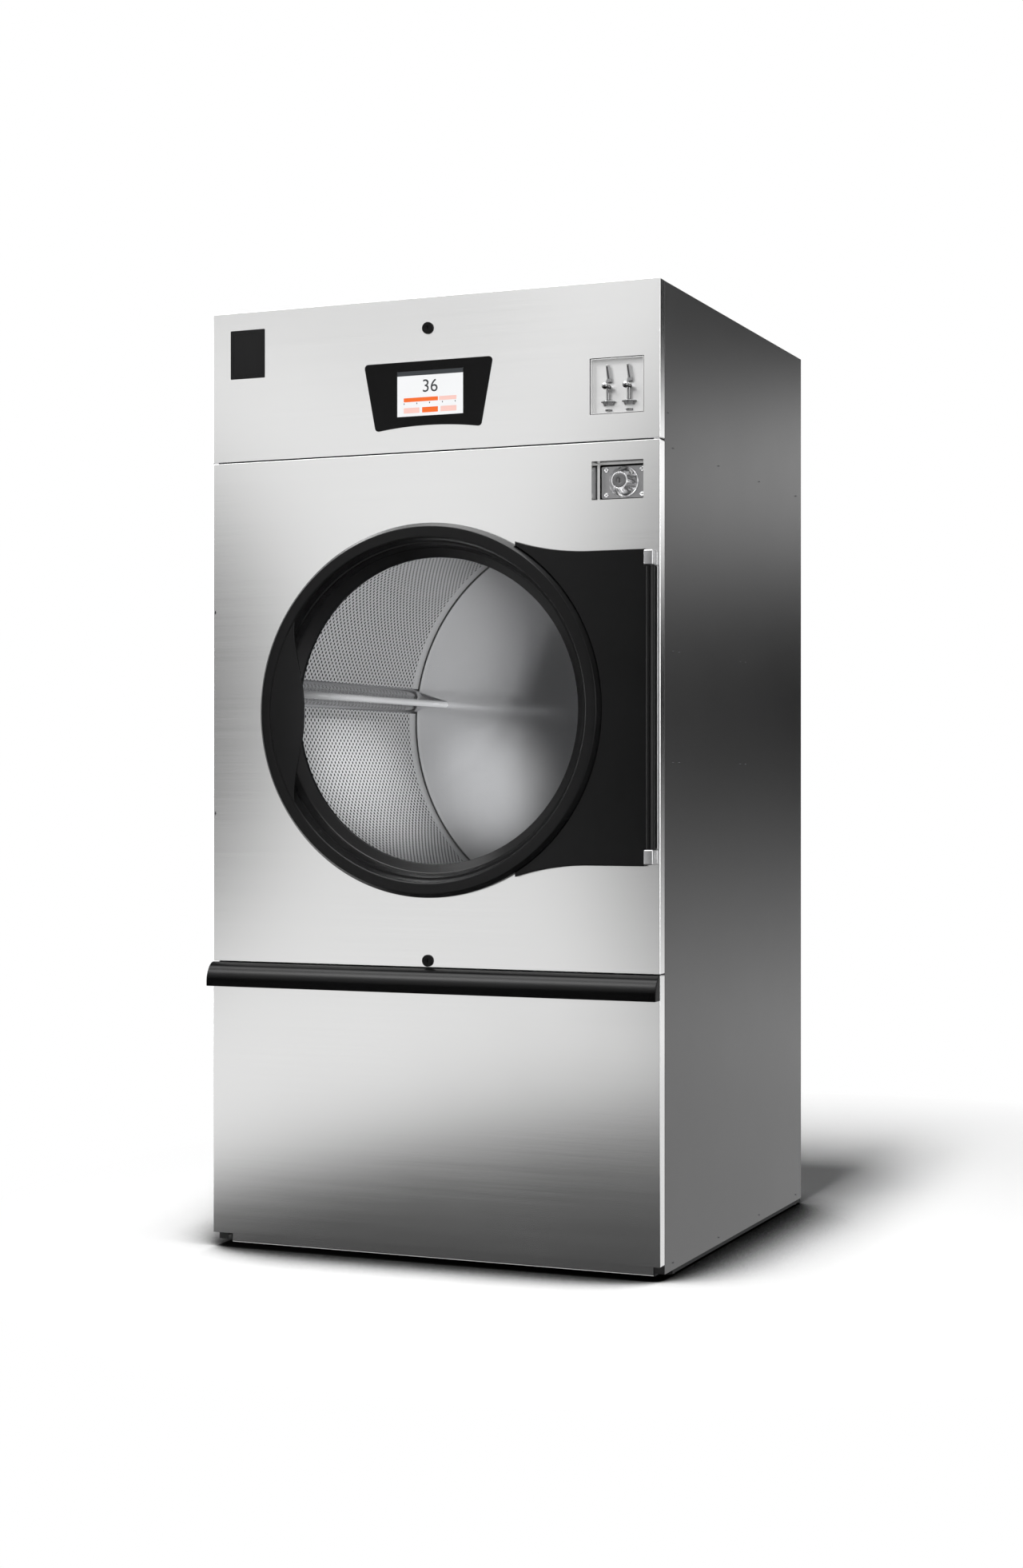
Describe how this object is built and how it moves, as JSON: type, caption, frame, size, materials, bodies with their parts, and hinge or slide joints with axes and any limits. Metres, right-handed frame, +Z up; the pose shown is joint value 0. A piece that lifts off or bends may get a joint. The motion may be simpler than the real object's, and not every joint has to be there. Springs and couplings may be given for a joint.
{
  "type": "coin-operated tumble dryer",
  "caption": "Tall tumble dryer with a round glass door, tilting control panel with coin slots, sliding coin box and a pull-out lint drawer.",
  "frame": {"origin": "on the floor under the middle of the machine's box", "axes": "+X to the right seen from the front, +Y from the front to the back, +Z up"},
  "size_m": [0.9888, 1.2254, 1.9364],
  "materials": {
    "brushed_front": "horizontally brushed stainless sheet",
    "dark_paint": "satin dark grey powder coat",
    "galvanized": "dull galvanized sheet",
    "drum_steel": "satin stainless",
    "black_plastic": "satin moulded black",
    "display_glass": "polished black",
    "display_face": "lit display",
    "badge": "bare dark plate",
    "door_pane": "clear tempered",
    "seal_rubber": "matt black",
    "felt": "wool felt",
    "chrome": "polished",
    "lock_black": "satin black",
    "screw_dark": "dark zinc",
    "machine_iron": "machined",
    "bearing_steel": "ground",
    "motor_paint": "grey enamel"
  },
  "bodies": {
    "cabinet": {"base_frame": "dark_paint", "levelling_feet": "black_plastic", "left_side_panel": "dark_paint", "right_side_panel": "dark_paint", "top_panel": "dark_paint", "rear_panel": "galvanized", "front_panel": "brushed_front", "opening_collar": "galvanized", "drum_housing": "galvanized", "heater_box": "galvanized", "heater_elements": "bearing_steel", "bearing_housings": "machine_iron", "shaft_bearings": "bearing_steel", "drive_motor": "motor_paint", "drive_belts": "seal_rubber", "fan_motor": "motor_paint", "blower_housing": "galvanized", "exhaust_duct": "galvanized", "drawer_runners": "galvanized", "terminal_box": "galvanized", "coin_vault": "brushed_front", "cabinet_screws": "screw_dark", "door_hinge_blocks": "chrome", "hinge_pins": "screw_dark", "drum_felt_seal": "felt", "rear_guard": "dark_paint"},
    "door": {"door_ring": "black_plastic", "door_hinge_plate": "black_plastic", "door_glass": "door_pane", "door_inner_bezel": "black_plastic", "door_gasket": "seal_rubber", "door_pull": "black_plastic", "door_magnet": "screw_dark"},
    "control_panel": {"control_panel": "brushed_front", "display_bezel": "display_glass", "display_screen": "display_face", "badge_plate": "badge", "coin_plate": "brushed_front", "coin_fittings": "chrome", "coin_acceptors": "motor_paint"},
    "control_lock": {"control_lock": "lock_black"},
    "lint_lock": {"lint_lock": "lock_black"},
    "coin_lock": {"coin_lock": "chrome"},
    "left_return_button": {"left_return_button": "chrome"},
    "right_return_button": {"right_return_button": "chrome"},
    "coin_box": {"coin_box": "galvanized", "coin_box_front": "brushed_front", "coin_box_bolts": "chrome"},
    "lint_drawer": {"lint_drawer_front": "brushed_front", "lint_drawer_handle": "black_plastic", "lint_drawer_frame": "galvanized", "lint_screen": "galvanized"},
    "drum": {"drum_cylinder": "drum_steel", "drum_back": "drum_steel", "drum_lifters": "drum_steel", "drum_shaft": "machine_iron", "drum_pulley": "machine_iron"},
    "jackshaft": {"jackshaft": "machine_iron"},
    "motor_rotor": {"motor_pulley": "machine_iron"},
    "blower": {"blower_wheel": "bearing_steel"}
  },
  "joints": [
    {"name": "door_hinge", "type": "hinge", "parent": "cabinet", "child": "door", "pos_m": [0.476, -0.59675, 1.108], "axis": [0, 0, 1], "range_deg": [0, 165]},
    {"name": "control_panel_tilt", "type": "hinge", "parent": "cabinet", "child": "control_panel", "pos_m": [0, -0.58275, 1.627], "axis": [1, 0, 0], "range_deg": [0, 80]},
    {"name": "lint_drawer_slide", "type": "slide", "parent": "cabinet", "child": "lint_drawer", "axis": [0, -1, 0], "range_m": [0, 0.45]},
    {"name": "coin_box_slide", "type": "slide", "parent": "cabinet", "child": "coin_box", "axis": [0, -1, 0], "range_m": [0, 0.15]},
    {"name": "control_lock_turn", "type": "hinge", "parent": "control_panel", "child": "control_lock", "pos_m": [0, -0.58375, 1.8735], "axis": [0, -1, 0], "range_deg": [0, 90]},
    {"name": "lint_lock_turn", "type": "hinge", "parent": "cabinet", "child": "lint_lock", "pos_m": [0, -0.58375, 0.607], "axis": [0, 1, 0], "range_deg": [0, 90]},
    {"name": "coin_lock_turn", "type": "hinge", "parent": "coin_box", "child": "coin_lock", "pos_m": [0.404, -0.58375, 1.5507], "axis": [0, -1, 0], "range_deg": [0, 90]},
    {"name": "left_return_press", "type": "slide", "parent": "control_panel", "child": "left_return_button", "axis": [0, 1, 0], "range_m": [0, 0.005], "stiffness_N_per_m": 300},
    {"name": "right_return_press", "type": "slide", "parent": "control_panel", "child": "right_return_button", "axis": [0, 1, 0], "range_m": [0, 0.005], "stiffness_N_per_m": 300},
    {"name": "drum_spin", "type": "hinge", "parent": "cabinet", "child": "drum", "pos_m": [0, 0, 1.108], "axis": [0, 1, 0], "continuous": true},
    {"name": "jackshaft_spin", "type": "hinge", "parent": "cabinet", "child": "jackshaft", "pos_m": [-0.2, 0, 0.7], "axis": [0, 1, 0], "continuous": true},
    {"name": "motor_spin", "type": "hinge", "parent": "cabinet", "child": "motor_rotor", "pos_m": [0.15, 0, 0.62], "axis": [0, 1, 0], "continuous": true},
    {"name": "blower_spin", "type": "hinge", "parent": "cabinet", "child": "blower", "pos_m": [-0.12, 0, 0.33], "axis": [0, 1, 0], "continuous": true}
  ],
  "couplings": [
    {"joint": "jackshaft_spin", "follows": "drum_spin", "ratio": 8.25},
    {"joint": "motor_spin", "follows": "drum_spin", "ratio": 35.357}
  ]
}
